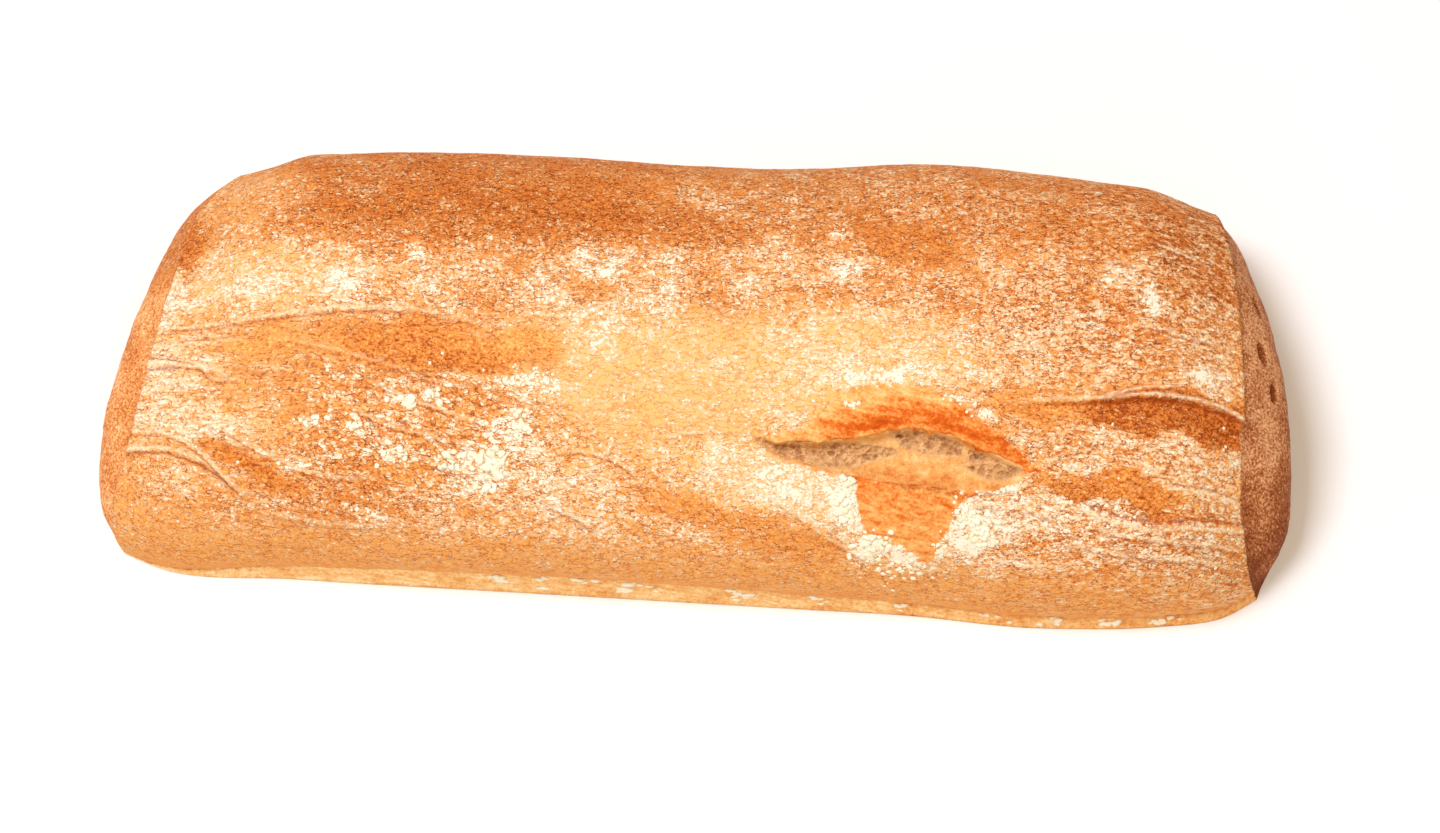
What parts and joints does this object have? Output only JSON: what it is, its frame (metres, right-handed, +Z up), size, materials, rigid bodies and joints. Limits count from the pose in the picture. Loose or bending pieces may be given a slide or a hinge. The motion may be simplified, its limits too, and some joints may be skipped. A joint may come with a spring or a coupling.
{
  "type": "ciabatta loaf",
  "caption": "Oblong ciabatta with a floured, folded crust torn open on top, two cut and swollen ends, and a flat underside to rest on.",
  "frame": {"origin": "middle of the flat underside: the centre of the bounding box in X and Y, at its bottom", "axes": "+X along the loaf towards the end with the pocket fold, +Y from the side with the pale foot to the back, +Z up"},
  "size_m": [0.2826, 0.108, 0.0519],
  "materials": {
    "crust": "matte"
  },
  "bodies": {
    "root": {"loaf": "crust"}
  },
  "joints": []
}
